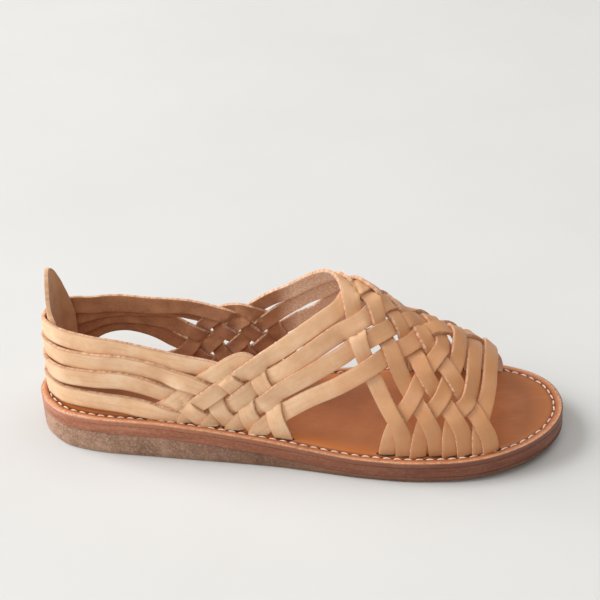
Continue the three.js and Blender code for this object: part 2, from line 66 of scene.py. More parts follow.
# Outsole: a ground layer of crepe rubber, cut to the foot's outline, thick under the heel and
# skived thin under the ball, its wall ground rough by the edge trimmer and grey with dust.
OUTSOLE_HEEL = 11.6
OUTSOLE_BALL = 2.6
TOE_SPRING = 5.4
LAYER_GAP = 0.3
RIM_STEPS = 224
EDGE_SAMPLES = 1200
SPRING_FROM = 0.7
SKIVE_FROM = 0.22
SKIVE_LENGTH = 0.44
SPINE_START = 30
SPINE_END = 34
WELD = 0.00002
CREASE = math.radians(42)
OUTLINE_ALONG = [0, 0.03, 0.08, 0.16, 0.24, 0.32, 0.4, 0.48, 0.56, 0.64, 0.72, 0.8, 0.86, 0.92, 0.97, 1]
OUTLINE_NEAR = [0, 0.42, 0.64, 0.742, 0.77, 0.8, 0.825, 0.86, 0.923, 0.99, 1.02, 0.993, 0.92, 0.755, 0.49, 0]
OUTLINE_FAR = [0, 0.45, 0.625, 0.708, 0.7, 0.658, 0.62, 0.645, 0.75, 0.885, 0.98, 1.0, 0.95, 0.805, 0.55, 0]


def follow(xs, ys, x):
    """Smooth curve through the rows of a table, without overshoot."""
    xs, ys, x = np.asarray(xs, float), np.asarray(ys, float), np.asarray(x, float)
    slope = np.diff(ys) / np.diff(xs)
    tangent = np.empty(len(xs))
    tangent[0], tangent[-1] = slope[0], slope[-1]
    a, b = slope[:-1], slope[1:]
    tangent[1:-1] = np.where(a * b <= 0, 0, 2 * a * b / np.where(a + b == 0, 1, a + b))
    k = np.clip(np.searchsorted(xs, x) - 1, 0, len(xs) - 2)
    h = xs[k + 1] - xs[k]
    t = (x - xs[k]) / h
    s = t * t * (3 - 2 * t)
    value = ys[k] * (1 - s) + ys[k + 1] * s
    value = value + h * t * (1 - t) * ((1 - t) * tangent[k] - t * tangent[k + 1])
    value = np.where(x < xs[0], ys[0] + (x - xs[0]) * tangent[0], value)
    return np.where(x > xs[-1], ys[-1] + (x - xs[-1]) * tangent[-1], value)


def sole_half(side, x):
    """Half width of the sole at x from the back of the heel, on the near or the far side."""
    shares = OUTLINE_NEAR if side == "near" else OUTLINE_FAR
    squares = (np.array(shares) * BALL_HALF_WIDTH) ** 2
    return np.sqrt(np.maximum(follow(np.array(OUTLINE_ALONG) * SOLE_LENGTH, squares, x), 0))


def spring_at(x):
    """How far the sole has lifted off the ground toward the toe."""
    run = np.maximum(np.asarray(x) / SOLE_LENGTH - SPRING_FROM, 0) / (1 - SPRING_FROM)
    return TOE_SPRING * run * run


def outsole_top(x):
    t = np.clip((np.asarray(x) / SOLE_LENGTH - SKIVE_FROM) / SKIVE_LENGTH, 0, 1)
    return OUTSOLE_HEEL + (OUTSOLE_BALL - OUTSOLE_HEEL) * t * t * (3 - 2 * t) + spring_at(x)


def run_along(line):
    """Length of a line from its start to each of its points."""
    return np.concatenate([[0], np.cumsum(np.linalg.norm(np.diff(line, axis=0), axis=1))])


def sole_plan():
    """Outline of the sole, near side first, evenly stepped along its edge."""
    x = SOLE_LENGTH / 2 * (1 - np.cos(np.linspace(0, np.pi, EDGE_SAMPLES)))
    near = np.stack([x, -sole_half("near", x)], 1)
    far = np.stack([x, sole_half("far", x)], 1)[::-1]
    line = np.vstack([near, far[1:]])
    run = run_along(line)
    steps = np.linspace(0, run[-1], RIM_STEPS + 1)[:-1]
    return np.stack([np.interp(steps, run, line[:, k]) for k in (0, 1)], 1)


PLAN = sole_plan()
PLAN_AHEAD = np.roll(PLAN, -1, 0) - np.roll(PLAN, 1, 0)
PLAN_INWARD = np.stack([-PLAN_AHEAD[:, 1], PLAN_AHEAD[:, 0]], 1)
PLAN_INWARD /= np.linalg.norm(PLAN_INWARD, axis=1)[:, None]


def plan_ring(inset, height_at, rise=0.0):
    """Ring of the sole drawn in from its edge, at a height that changes along the shoe."""
    xy = PLAN + PLAN_INWARD * inset
    return np.column_stack([xy, height_at(xy[:, 0]) + rise])


def spine_ring(start, share, height_at, rise=0.0):
    """Ring part of the way from a ring of the sole in to the line down its middle."""
    middle_x = np.clip(start[:, 0], SPINE_START, SOLE_LENGTH - SPINE_END)
    middle = np.column_stack([middle_x, np.zeros(len(start))])
    xy = start[:, :2] * (1 - share) + middle * share
    return np.column_stack([xy, height_at(xy[:, 0]) + rise])


def loft_layer(name, rings):
    """A layer of the sole: a circle laid on the first ring, then extruded from ring to ring."""
    bpy.ops.object.select_all(action="DESELECT")
    bpy.ops.mesh.primitive_circle_add(vertices=RIM_STEPS, radius=1, fill_type="NOTHING")
    layer = bpy.context.object
    layer.name = name
    places = [(ring - CENTRE) * MM for ring in rings]
    for k, vertex in enumerate(layer.data.vertices):
        vertex.co = places[0][k]
    bpy.ops.object.mode_set(mode="EDIT")
    bpy.ops.mesh.select_all(action="SELECT")
    step_of = {k: k for k in range(RIM_STEPS)}
    for place in places[1:]:
        bpy.ops.mesh.extrude_region_move()
        shape = bmesh.from_edit_mesh(layer.data)
        shape.verts.index_update()
        drawn = {}
        for v in [v for v in shape.verts if v.select]:
            source = next(e.other_vert(v) for e in v.link_edges if not e.other_vert(v).select)
            drawn[v] = step_of[source.index]
        for v, k in drawn.items():
            v.co = place[k]
        step_of = {v.index: k for v, k in drawn.items()}
        bmesh.update_edit_mesh(layer.data)
    bpy.ops.mesh.select_all(action="SELECT")
    bpy.ops.mesh.remove_doubles(threshold=WELD)
    bpy.ops.mesh.normals_make_consistent(inside=False)
    bpy.ops.object.mode_set(mode="OBJECT")
    bpy.ops.object.shade_smooth_by_angle(angle=CREASE)
    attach(layer, "root")
    return layer


def tone(red, green, blue):
    """A colour given as the eye sees it, out of 255, as the linear colour a shader takes."""
    shares = [c / 255 for c in (red, green, blue)]
    linear = [c / 12.92 if c <= 0.04045 else ((c + 0.055) / 1.055) ** 2.4 for c in shares]
    return (*linear, 1.0)


class Finish:
    """A leather, rubber or thread finish, its nodes wired from short calls."""

    def __init__(self, name, coords="Object"):
        self.material = bpy.data.materials.new(name)
        self.material.use_nodes = True
        self.nodes = self.material.node_tree.nodes
        self.links = self.material.node_tree.links
        self.shader = self.nodes["Principled BSDF"]
        self.place = self.add("ShaderNodeTexCoord").outputs[coords]

    def add(self, kind, **settings):
        node = self.nodes.new(kind)
        for key, value in settings.items():
            setattr(node, key, value)
        return node

    def set(self, socket, value):
        self.shader.inputs[socket].default_value = value

    def join(self, source, target):
        self.links.new(source, target)

    def into(self, source, socket):
        self.links.new(source, self.shader.inputs[socket])

    def stretched(self, scale):
        node = self.add("ShaderNodeMapping")
        node.inputs["Scale"].default_value = scale
        self.join(self.place, node.inputs["Vector"])
        return node.outputs[0]

    def noise(self, scale, detail=3.0, rough=0.55, at=None):
        node = self.add("ShaderNodeTexNoise")
        node.inputs["Scale"].default_value = scale
        node.inputs["Detail"].default_value = detail
        node.inputs["Roughness"].default_value = rough
        self.join(at or self.place, node.inputs["Vector"])
        return node.outputs[0]

    def cells(self, scale):
        node = self.add("ShaderNodeTexVoronoi")
        node.inputs["Scale"].default_value = scale
        self.join(self.place, node.inputs["Vector"])
        return node.outputs["Distance"]

    def ramp(self, value, *stops):
        node = self.add("ShaderNodeValToRGB")
        while len(node.color_ramp.elements) < len(stops):
            node.color_ramp.elements.new(0.5)
        for element, (position, colour) in zip(node.color_ramp.elements, stops):
            element.position = position
            element.color = colour if isinstance(colour, tuple) else (colour, colour, colour, 1)
        self.join(value, node.inputs[0])
        return node.outputs[0]

    def feed(self, value, target):
        """Sets a constant on a socket, or joins another node's output to it."""
        if isinstance(value, (float, int, tuple)):
            target.default_value = value
        else:
            self.join(value, target)

    def mix(self, share, first, second):
        node = self.add("ShaderNodeMix", data_type="RGBA")
        for slot, value in ((0, share), (6, first), (7, second)):
            self.feed(value, node.inputs[slot])
        return node.outputs[2]

    def math(self, operation, first, second=0.0):
        node = self.add("ShaderNodeMath", operation=operation)
        self.feed(first, node.inputs[0])
        self.feed(second, node.inputs[1])
        return node.outputs[0]

    def axis(self, letter, place=None):
        node = self.add("ShaderNodeSeparateXYZ")
        self.join(place or self.place, node.inputs[0])
        return node.outputs[letter]

    def toward_toe(self, scale, *stops):
        """A ramp along the shoe: a half at the middle of the sole, more toward the toe."""
        place = self.add("ShaderNodeTexCoord").outputs["Object"]
        share = self.math("ADD", self.math("MULTIPLY", self.axis("X", place), scale), 0.5)
        return self.ramp(share, *stops)

    def attribute(self, name):
        return self.add("ShaderNodeAttribute", attribute_name=name).outputs["Fac"]

    def bump(self, *reliefs):
        normal = None
        for height, strength, depth in reliefs:
            node = self.add("ShaderNodeBump")
            node.inputs["Strength"].default_value = strength
            node.inputs["Distance"].default_value = depth * MM
            self.join(height, node.inputs["Height"])
            if normal is not None:
                self.join(normal, node.inputs["Normal"])
            normal = node.outputs[0]
        self.into(normal, "Normal")


def wall_rings(base_at, top_at, bulge, count=5):
    """Rings up the wall of a layer, a little proud of its edge half way up."""
    rings = []
    for k in range(count):
        share = k / (count - 1)
        swell = bulge * math.sin(math.pi * share)
        rings.append(plan_ring(-swell, lambda x, s=share: base_at(x) * (1 - s) + top_at(x) * s))
    return rings


under = plan_ring(1.6, spring_at)
outsole = loft_layer(
    "outsole_crepe",
    [spine_ring(under, share, spring_at) for share in (1, 0.66, 0.33)]
    + [under, plan_ring(0.5, spring_at, 0.25)]
    + wall_rings(lambda x: spring_at(x) + 1.0, lambda x: outsole_top(x) - 0.1, 0.08)
    + [plan_ring(0.2, outsole_top, 0.1)]
    + [spine_ring(under, share, outsole_top, 0.15) for share in (0, 0.5, 1)],
)
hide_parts("outsole")

crepe = Finish("crepe_rubber_wall")
grime = crepe.noise(70, 6, 0.7)
streaks = crepe.noise(30, 5, 0.65, crepe.stretched((0.5, 0.5, 6)))
along = crepe.toward_toe(4.0, (0.0, 0.0), (0.15, 0.0), (0.62, 1.0))
heel_wall = crepe.ramp(
    grime, (0.3, tone(120, 88, 68)), (0.5, tone(160, 122, 98)), (0.7, tone(192, 156, 130))
)
toe_wall = crepe.ramp(streaks, (0.3, tone(84, 48, 32)), (0.7, tone(122, 78, 56)))
wall = crepe.mix(along, heel_wall, toe_wall)
wall = crepe.mix(crepe.ramp(streaks, (0.5, 0.0), (0.8, 0.3)), wall, tone(164, 128, 106))
dust = crepe.noise(800, 5, 0.8)
heelward = crepe.ramp(along, (0.0, 1.0), (0.9, 0.15))
dusted = crepe.math("MULTIPLY", heelward, crepe.ramp(dust, (0.5, 0.0), (0.64, 0.55)))
wall = crepe.mix(dusted, wall, tone(206, 182, 160))
wall = crepe.mix(crepe.ramp(dust, (0.34, 0.5), (0.46, 0.0)), wall, tone(78, 50, 38))
crepe.into(wall, "Base Color")
crepe.set("Roughness", 0.78)
crepe.bump((grime, 0.5, 0.5), (crepe.cells(900), 0.35, 0.25))
outsole.data.materials.append(crepe.material)


# Midsole: a layer of stiff reddish leather cemented on the outsole, its cut wall stained brown
# and polished, with the fine horizontal grain of pressed leather board.
MIDSOLE_THICKNESS = 5.0


def midsole_base(x):
    return outsole_top(x) + LAYER_GAP


def midsole_top(x):
    return midsole_base(x) + MIDSOLE_THICKNESS


pressed = plan_ring(1.2, midsole_base)
midsole = loft_layer(
    "midsole_leather",
    [spine_ring(pressed, share, midsole_base, -0.1) for share in (1, 0.5, 0)]
    + [plan_ring(0.2, midsole_base, -0.1)]
    + wall_rings(lambda x: midsole_base(x) + 0.05, lambda x: midsole_top(x) - 0.05, 0.08)
    + [plan_ring(0.2, midsole_top, 0.1)]
    + [spine_ring(pressed, share, midsole_top, 0.1) for share in (0, 0.5, 1)],
)
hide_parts("midsole")

board = Finish("stained_board_wall")
layers = board.noise(40, 6, 0.7, board.stretched((0.6, 0.6, 9)))
blotch = board.noise(28, 4, 0.6)
along = board.toward_toe(4.0, (0.0, 0.0), (0.75, 1.0))
heel_wall = board.ramp(
    layers, (0.3, tone(146, 84, 54)), (0.55, tone(182, 112, 80)), (0.75, tone(200, 138, 106))
)
toe_wall = board.ramp(layers, (0.3, tone(98, 46, 24)), (0.7, tone(134, 72, 42)))
wall = board.mix(along, heel_wall, toe_wall)
wall = board.mix(board.ramp(blotch, (0.52, 0.0), (0.75, 0.25)), wall, tone(180, 126, 100))
scuffs = board.noise(600, 5, 0.8)
heelward = board.ramp(along, (0.0, 1.0), (1.0, 0.3))
scuffed = board.math("MULTIPLY", heelward, board.ramp(scuffs, (0.52, 0.0), (0.66, 0.5)))
wall = board.mix(scuffed, wall, tone(206, 152, 122))
wall = board.mix(board.ramp(scuffs, (0.34, 0.4), (0.46, 0.0)), wall, tone(92, 46, 28))
board.into(wall, "Base Color")
board.set("Roughness", 0.5)
board.set("Coat Weight", 0.12)
board.set("Coat Roughness", 0.4)
board.bump((layers, 0.4, 0.4), (board.noise(900, 3), 0.25, 0.15))
midsole.data.materials.append(board.material)


# Insole: a board of glossy chestnut leather stitched down all round. The stitches sit in a pressed
# channel, and outside it the rim is rounded off where the knife has cut it. The rim's paler colour
# is partly the cut leather and partly a painted gloss highlight.
INSOLE_THICKNESS = 2.2
STITCH_INSET = 4.2
BED_INSET = 8.4
BED_DISH = -0.35
DEPTH_SPAN = 20


def insole_base(x):
    return midsole_top(x) + LAYER_GAP


def insole_top(x):
    return insole_base(x) + INSOLE_THICKNESS


CHANNEL = [
    (0.4, -0.1),
    (1.1, 0.0),
    (2.4, 0.06),
    (3.5, 0.0),
    (STITCH_INSET - 0.5, -0.42),
    (STITCH_INSET + 0.5, -0.42),
    (STITCH_INSET + 1.3, -0.05),
    (STITCH_INSET + 2.6, 0.02),
]
bed = plan_ring(BED_INSET, insole_top)
insole = loft_layer(
    "insole_leather",
    [spine_ring(bed, share, insole_base, -0.1) for share in (1, 0.5, 0)]
    + [plan_ring(0.1, insole_base, -0.1)]
    + wall_rings(insole_base, lambda x: insole_top(x) - 0.45, 0.05)
    + [plan_ring(inset, insole_top, rise) for inset, rise in CHANNEL]
    + [spine_ring(bed, share, insole_top, BED_DISH * share) for share in (0, 0.12, 0.3, 0.5, 0.75, 1)],
)
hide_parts("insole")
rim_share = insole.data.attributes.new("inset", "FLOAT", "POINT")
outline_tree = KDTree(RIM_STEPS)
for k, (x, y) in enumerate(PLAN):
    outline_tree.insert((x, y, 0), k)
outline_tree.balance()
depths = []
for vertex in insole.data.vertices:
    spot = Vector(vertex.co) / MM
    depths.append(outline_tree.find((spot.x + CENTRE[0], spot.y + CENTRE[1], 0))[2] / DEPTH_SPAN)
rim_share.data.foreach_set("value", depths)

chestnut = Finish("glazed_insole_leather")
depth = chestnut.attribute("inset")
clouds = chestnut.noise(22, 5, 0.6)
rubs = chestnut.noise(60, 4, 0.6, chestnut.stretched((1, 5, 1)))
field = chestnut.ramp(
    clouds, (0.3, tone(146, 86, 52)), (0.5, tone(170, 104, 64)), (0.7, tone(190, 122, 78))
)
# Colour by distance in from the edge: the rounded rim paler, partly cut leather and partly a painted gloss
# highlight; the stitch channel darker; and inside it a bright orange band, partly the leather's own orange
# and partly a painted highlight.
edge = chestnut.ramp(
    depth,
    (0.0, tone(178, 114, 80)),
    (0.016, tone(190, 124, 88)),
    (0.04, tone(226, 160, 116)),
    (0.1, tone(214, 136, 90)),
    (0.15, tone(176, 104, 66)),
    (0.185, tone(120, 58, 30)),
    (0.235, tone(112, 52, 26)),
    (0.32, tone(200, 118, 58)),
    (0.85, tone(162, 98, 64)),
)
# Painted light: toward the toe, inside the stitches, the bright orange band and its painted highlight are
# dulled to a plainer brown.
dulled_to_toe = chestnut.toward_toe(4.0, (0.55, 0.0), (0.75, 0.8))
within = chestnut.ramp(depth, (0.22, 0.0), (0.3, 1.0))
edge = chestnut.mix(chestnut.math("MULTIPLY", dulled_to_toe, within), edge, tone(160, 98, 58))
blend = chestnut.ramp(depth, (0.4, 0.0), (1.0, 1.0))
skin = chestnut.mix(blend, edge, field)
forward = chestnut.toward_toe(4.0, (0.1, 0.0), (0.8, 1.0))
ragged = chestnut.ramp(chestnut.noise(700, 5, 0.8), (0.42, 0.0), (0.58, 1.0))
cut_line = chestnut.ramp(depth, (0.012, 0.0), (0.025, 1.0), (0.06, 0.8), (0.11, 0.0))
frayed = chestnut.math("MULTIPLY", ragged, cut_line)
skin = chestnut.mix(frayed, skin, tone(246, 200, 162))
chips = chestnut.ramp(chestnut.noise(500, 5, 0.8), (0.36, 0.5), (0.48, 0.0))
rim = chestnut.ramp(depth, (0.0, 1.0), (0.13, 1.0), (0.17, 0.0))
skin = chestnut.mix(chestnut.math("MULTIPLY", chips, rim), skin, tone(104, 54, 32))
outer_rim = chestnut.ramp(depth, (0.0, 1.0), (0.014, 1.0), (0.03, 0.15), (0.1, 0.3), (0.17, 0.0))
skin = chestnut.mix(chestnut.math("MULTIPLY", forward, outer_rim), skin, tone(116, 62, 38))
skin = chestnut.mix(chestnut.ramp(rubs, (0.55, 0.0), (0.8, 0.3)), skin, tone(196, 136, 100))
chestnut.into(skin, "Base Color")
chestnut.into(chestnut.ramp(rubs, (0.35, 0.28), (0.7, 0.46)), "Roughness")
chestnut.set("Coat Weight", 0.2)
chestnut.set("Coat Roughness", 0.25)
pores = chestnut.noise(1400, 4)
chestnut.bump((frayed, 0.6, 0.5), (clouds, 0.2, 0.8), (pores, 0.12, 0.12), (rubs, 0.12, 0.2))
insole.data.materials.append(chestnut.material)


# Welt stitching: one row of waxed cream thread through insole and midsole. Each stitch is a short
# twisted length that dips into its holes, modelled once and copied along the channel.
STITCH_PITCH = 5.0
STITCH_LENGTH = 4.2
STITCH_WIDTH = 0.9
STITCH_HALF_HEIGHT = 0.42
STITCH_DIP = 0.5
STITCH_SINK = -0.18
STITCH_SLANT = 0.1
STITCH_WANDER = 2.4

bpy.ops.object.select_all(action="DESELECT")
bpy.ops.mesh.primitive_uv_sphere_add(segments=10, ring_count=8, radius=1)
stitch = bpy.context.object
bpy.ops.object.mode_set(mode="EDIT")
bpy.ops.mesh.select_all(action="SELECT")
bpy.ops.transform.rotate(value=math.pi / 2, orient_axis="Y", center_override=(0, 0, 0))
bpy.ops.transform.resize(value=(STITCH_LENGTH / 2, STITCH_WIDTH / 2, STITCH_HALF_HEIGHT))
bpy.ops.object.mode_set(mode="OBJECT")
corners = np.array([v.co[:] for v in stitch.data.vertices])
corners[:, 2] -= STITCH_DIP * (corners[:, 0] / (STITCH_LENGTH / 2)) ** 2
faces = [list(p.vertices) for p in stitch.data.polygons]
bpy.data.objects.remove(stitch)

line = plan_ring(STITCH_INSET, insole_top, STITCH_SINK)
closed = np.vstack([line, line[:1]])
run = run_along(closed)
count = int(run[-1] / STITCH_PITCH)
stitch_corners, stitch_faces = [], []
for k in range(count):
    at = (k + 0.5) / count * run[-1]
    middle, ahead = (
        np.array([np.interp(at + step, run, closed[:, axis]) for axis in range(3)]) for step in (0, 0.5)
    )
    forward = (ahead - middle) / np.linalg.norm(ahead - middle)
    side = np.cross((0, 0, 1), forward)
    slant = STITCH_SLANT * math.sin(STITCH_WANDER * k)
    forward = forward * math.cos(slant) + side * math.sin(slant)
    side = np.cross((0, 0, 1), forward)
    lift = np.cross(forward, side)
    placed = middle + corners @ np.stack([forward, side, lift])
    stitch_faces += [[v + len(stitch_corners) for v in face] for face in faces]
    stitch_corners += list((placed - CENTRE) * MM)


def laid_in(name, points, faces):
    """A fitting of the insole, from the corners and faces of all its copies."""
    mesh = bpy.data.meshes.new(name)
    mesh.from_pydata(points, [], faces)
    piece = bpy.data.objects.new(name, mesh)
    bpy.context.scene.collection.objects.link(piece)
    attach(piece, "root")
    return piece


stitches = laid_in("welt_stitches", stitch_corners, stitch_faces)
stitches.data.shade_smooth()

thread = Finish("waxed_thread")
twist = thread.noise(900, 2, 0.5)
thread.into(thread.ramp(twist, (0.3, tone(214, 178, 152)), (0.7, tone(246, 226, 206))), "Base Color")
thread.set("Roughness", 0.6)
thread.bump((twist, 0.5, 0.2))
stitches.data.materials.append(thread.material)


# Straps: flat thongs of vegetable-tanned leather, grain side out and flesh side in. They are woven
# by hand over the last, wet, so that they dry bent over each other, and go down through the insole.
STRAP_WIDTH = 8.4
HEEL_STRAP_WIDTH = 9.1
THONG_THICKNESS = 1.7
THONG_EASE = 0.42
THONG_ARRIS = math.radians(50)
UV_SPAN = 10
UV_APART = 37
INSTEP_HEIGHT = 86.0
HEEL_SETBACK = 4.5
TOE_SETBACK = 6.0
HEEL_LEAN = 2.4
STRAP_INSET = 4.0
HEEL_CORE = 0.13 * SOLE_LENGTH
TOE_CORE = 0.9 * SOLE_LENGTH
CORE_RISE = 0.35
FARTHEST = 2.5
HALVINGS = 30
FEELER = 0.6
SPAN_SAMPLES = 40
TILT_REACH = 0.32
STRAP_INSETS = [1, 1.9, 1.5, 1.45, 1.5, 1.6, 1.65, 1.7, 1.75, 1.8, 1.85, 1.8, 1.6, 1.5, 1.5, 1.5]
RIDGE_ALONG = [0, 0.34, 0.46, 0.56, 0.64, 0.72, 0.8, 0.88, 1.0]
RIDGE_HEIGHT = [1.16, 1.16, 1.09, 1.0, 0.88, 0.715, 0.59, 0.43, 0.16]
ACROSS_ALONG = [0, 0.2, 0.4, 0.5, 0.56, 0.6, 0.64, 0.72, 0.8, 1.0]
ACROSS_DROP = [0.14, 0.07, -0.08, -0.14, -0.08, -0.03, 0, 0, 0, 0]
ACROSS_TILT = [0, 0, 0, 0.02, 0.04, 0.1, 0.16, 0.12, 0.09, 0.06]

# Routes over the last: along the sole, and round the foot from its outer edge, both as shares.
QUARTER = {
    1: [
        (0.31, 0), (0.321, 0.025), (0.362, 0.067), (0.4, 0.099), (0.442, 0.14), (0.51, 0.215),
        (0.561, 0.289), (0.599, 0.366),
    ],
    2: [
        (0.355, 0), (0.379, 0.028), (0.422, 0.075), (0.457, 0.11), (0.516, 0.169), (0.561, 0.226),
        (0.601, 0.289), (0.637, 0.354),
    ],
    3: [
        (0.4, 0), (0.429, 0.035), (0.473, 0.081), (0.5, 0.111), (0.546, 0.157), (0.602, 0.225),
        (0.633, 0.277), (0.673, 0.352),
    ],
    4: [
        (0.445, 0), (0.482, 0.042), (0.538, 0.097), (0.602, 0.156), (0.655, 0.228), (0.69, 0.3),
        (0.726, 0.378),
    ],
}
FRONT = {
    1: [
        (0.615, 0.42), (0.628, 0.35), (0.635, 0.29), (0.652, 0.235), (0.687, 0.145), (0.706, 0.1),
        (0.716, 0.055), (0.717, 0),
    ],
    2: [
        (0.659, 0.42), (0.67, 0.378), (0.687, 0.322), (0.713, 0.245), (0.734, 0.19), (0.759, 0.13),
        (0.773, 0.065), (0.777, 0),
    ],
    3: [
        (0.705, 0.42), (0.724, 0.378), (0.75, 0.285), (0.781, 0.212), (0.804, 0.16), (0.821, 0.1),
        (0.827, 0),
    ],
    4: [
        (0.747, 0.42), (0.772, 0.37), (0.798, 0.31), (0.818, 0.262), (0.833, 0.222), (0.853, 0.15),
        (0.867, 0.08), (0.871, 0),
    ],
}
TOE = {
    1: [
        (0.686, 0), (0.695, 0.06), (0.708, 0.108), (0.732, 0.19), (0.751, 0.283), (0.771, 0.368),
        (0.779, 0.42),
    ],
    2: [
        (0.742, 0), (0.749, 0.075), (0.759, 0.133), (0.782, 0.212), (0.798, 0.31), (0.806, 0.37),
        (0.808, 0.42),
    ],
    3: [(0.8, 0), (0.801, 0.09), (0.808, 0.16), (0.83, 0.235), (0.836, 0.33), (0.837, 0.42)],
    4: [(0.853, 0), (0.852, 0.08), (0.854, 0.15), (0.861, 0.24), (0.865, 0.33), (0.866, 0.42)],
}
HEEL = {
    1: [
        (0.446, 0), (0.43, 0.035), (0.421, 0.075), (0.399, 0.101), (0.377, 0.116), (0.297, 0.127),
        (0.198, 0.145), (0.128, 0.152), (0.059, 0.157),
    ],
    2: [
        (0.398, 0), (0.38, 0.028), (0.362, 0.067), (0.339, 0.082), (0.297, 0.092), (0.257, 0.104),
        (0.198, 0.114), (0.128, 0.114), (0.059, 0.113),
    ],
    3: [
        (0.354, 0), (0.322, 0.025), (0.296, 0.044), (0.247, 0.066), (0.197, 0.078), (0.128, 0.077),
        (0.059, 0.072),
    ],
    4: [(0.308, 0), (0.261, 0.016), (0.199, 0.025), (0.129, 0.029), (0.06, 0.028)],
}
HEEL_BACK = {1: 0.146, 2: 0.104, 3: 0.064, 4: 0.0265}
LOOP = [
    (0.235, 0), (0.261, 0.017), (0.297, 0.045), (0.339, 0.082), (0.378, 0.117), (0.409, 0.143),
    (0.429, 0.152), (0.445, 0.138), (0.458, 0.11), (0.472, 0.082), (0.482, 0.043), (0.495, 0),
]

# Inner side of the quarter and heel, which the hand has drawn tighter and higher than the outer
# side, with the rounds taken from the inner edge.
INNER_HEEL = {
    1: [
        (0.46, 0), (0.45, 0.022), (0.436, 0.053), (0.419, 0.084), (0.397, 0.109), (0.372, 0.127),
        (0.339, 0.131), (0.29, 0.136), (0.239, 0.134), (0.193, 0.134), (0.117, 0.138), (0.069, 0.141),
    ],
    2: [
        (0.418, 0), (0.405, 0.02), (0.389, 0.047), (0.367, 0.074), (0.338, 0.096), (0.297, 0.114),
        (0.267, 0.122), (0.233, 0.124), (0.169, 0.124), (0.1, 0.12), (0.06, 0.113),
    ],
    3: [
        (0.365, 0), (0.355, 0.012), (0.337, 0.038), (0.311, 0.06), (0.287, 0.074), (0.267, 0.08),
        (0.233, 0.092), (0.2, 0.099), (0.132, 0.103), (0.1, 0.099), (0.06, 0.083),
    ],
    4: [
        (0.32, 0), (0.305, 0.008), (0.268, 0.031), (0.242, 0.046), (0.226, 0.057), (0.206, 0.068),
        (0.169, 0.08), (0.132, 0.082), (0.1, 0.075), (0.06, 0.052),
    ],
}
INNER_QUARTER = {
    1: [
        (0.285, 0), (0.3, 0.022), (0.322, 0.05), (0.352, 0.083), (0.381, 0.114), (0.412, 0.15),
        (0.45, 0.195),
    ],
    2: [
        (0.33, 0), (0.352, 0.028), (0.381, 0.065), (0.412, 0.101), (0.439, 0.134), (0.465, 0.162),
        (0.516, 0.218),
    ],
    3: [(0.372, 0), (0.403, 0.038), (0.434, 0.078), (0.465, 0.11), (0.5, 0.147)],
    4: [(0.412, 0), (0.448, 0.045), (0.485, 0.083)],
}
INNER_LOOP = [
    (0.235, 0), (0.252, 0.008), (0.278, 0.032), (0.298, 0.068), (0.319, 0.099), (0.35, 0.128),
    (0.375, 0.143), (0.397, 0.149), (0.42, 0.145), (0.441, 0.13), (0.457, 0.107), (0.468, 0.075),
    (0.48, 0.035), (0.49, 0),
]

foot_along = np.array(OUTLINE_ALONG) * SOLE_LENGTH
foot_along[0], foot_along[-1] = HEEL_SETBACK, SOLE_LENGTH - TOE_SETBACK
foot_squares = {}
for name, shares in (("near", OUTLINE_NEAR), ("far", OUTLINE_FAR)):
    halves = np.array(shares) * BALL_HALF_WIDTH - np.array(STRAP_INSETS) * STRAP_INSET
    foot_squares[name] = np.maximum(halves, 0) ** 2


def ridge_height(x):
    """Height of the foot's upper line, from the ankle down to the toes."""
    return follow(np.array(RIDGE_ALONG) * SOLE_LENGTH, np.array(RIDGE_HEIGHT) * INSTEP_HEIGHT, x)


def lean_at(x, rise):
    """How far the back of the heel leans forward at a share of its height."""
    return 2 * HEEL_LEAN * rise * np.maximum(1 - x / (2 * HEEL_CORE), 0)


def foot_square(x, near):
    """Square of the foot's half width at the insole."""
    near_square, far_square = (follow(foot_along, foot_squares[name], x) for name in ("near", "far"))
    return np.where(near, near_square, far_square)


def foot_field(p):
    """Below zero inside the foot, above zero outside it."""
    x, y, z = p[..., 0], p[..., 1], p[..., 2]
    floor = insole_top(x)
    rise = np.maximum(z - floor, 0) / (ridge_height(x) - floor)
    return y * y - foot_square(x - lean_at(x, rise), y < 0) * (1 - rise * rise)


def foot_point(row):
    """The place on the foot that a row of a route names."""
    x, angle = row[0] * SOLE_LENGTH, row[1] * math.pi
    half = math.sqrt(max(float(foot_square(x, row[1] < 0.5)), 0))
    floor, rise = float(insole_top(x)), math.sin(angle)
    height = floor + (float(ridge_height(x)) - floor) * rise
    return np.array([x + float(lean_at(x, max(rise, 0))), -half * math.cos(angle), height])


def settle(p):
    """Moves points outward or inward from the core of the foot until they lie on the foot."""
    floor = insole_top(p[:, 0])
    heart = np.clip(p[:, 0], HEEL_CORE, TOE_CORE)
    core = np.stack([heart, 0 * p[:, 1], floor + CORE_RISE * (p[:, 2] - floor)], 1)
    low, high = np.zeros(len(p)), np.full(len(p), FARTHEST)
    for _ in range(HALVINGS):
        mid = (low + high) / 2
        inside = foot_field(core + (p - core) * mid[:, None]) < 0
        low, high = np.where(inside, mid, low), np.where(inside, high, mid)
    return core + (p - core) * ((low + high) / 2)[:, None]


def foot_normal(p):
    """The way straight out of the foot at each point."""
    slope = [foot_field(p + step) - foot_field(p - step) for step in np.eye(3) * FEELER]
    normal = np.stack(slope, 1)
    return normal / np.linalg.norm(normal, axis=1)[:, None]


def mirrored(rows):
    """The matching places on the inner side of the weave."""
    flipped = []
    for along, around in rows:
        drop = float(follow(ACROSS_ALONG, ACROSS_DROP, along))
        tilt = float(follow(ACROSS_ALONG, ACROSS_TILT, along))
        t = min(max(around / TILT_REACH, 0), 1)
        flipped.append((along, 1 - around * (1 - drop) - tilt * t * t * (3 - 2 * t)))
    return flipped


